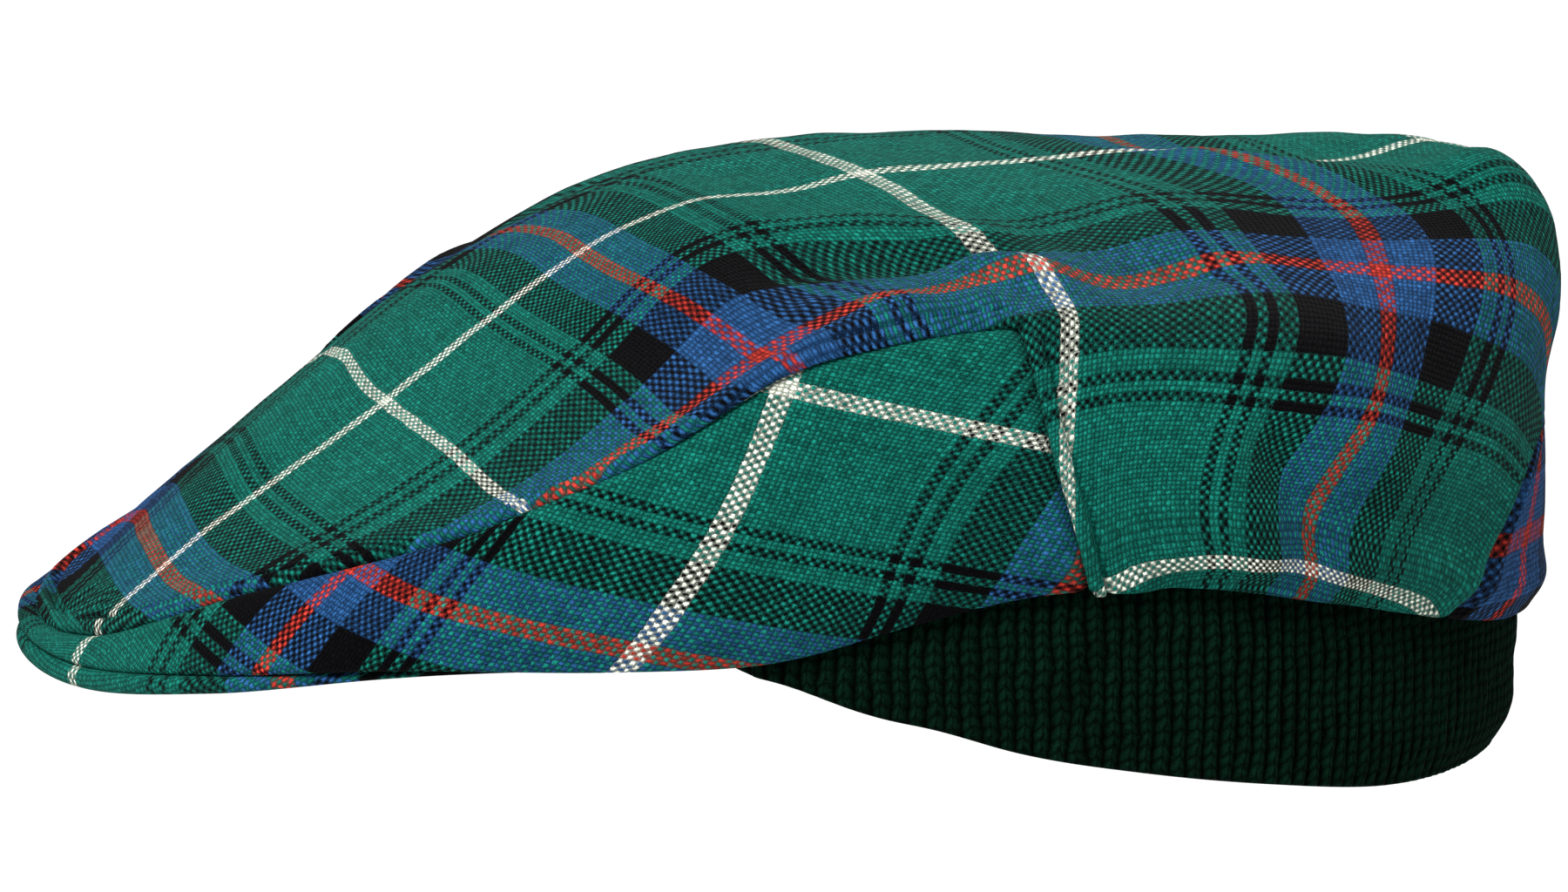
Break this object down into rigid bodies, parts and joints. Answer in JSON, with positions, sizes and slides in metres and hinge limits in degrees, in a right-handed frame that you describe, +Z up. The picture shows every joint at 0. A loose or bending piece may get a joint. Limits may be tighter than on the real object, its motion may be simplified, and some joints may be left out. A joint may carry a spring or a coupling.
{
  "type": "flat cap",
  "caption": "Tartan flat cap with a soft leaning crown, a cloth side band, a stiff covered peak and a ribbed knit ear band that hangs below the hem.",
  "frame": {"origin": "middle of the head opening, level with the hem", "axes": "+Z up, the peak points to -Y, +X is the wearer's left"},
  "size_m": [0.1869, 0.264, 0.1028],
  "materials": {
    "tartan_top": "plain-weave wool tartan in green, black and blue with white and red lines",
    "tartan_band": "the same wool tartan, cut at an angle to the top",
    "tartan_peak": "the same wool tartan over a stiff board",
    "dark_green_knit": "ribbed wool knit"
  },
  "bodies": {
    "root": {"top_panel": "tartan_top", "side_band": "tartan_band", "peak": "tartan_peak", "ear_band": "dark_green_knit"}
  },
  "joints": []
}
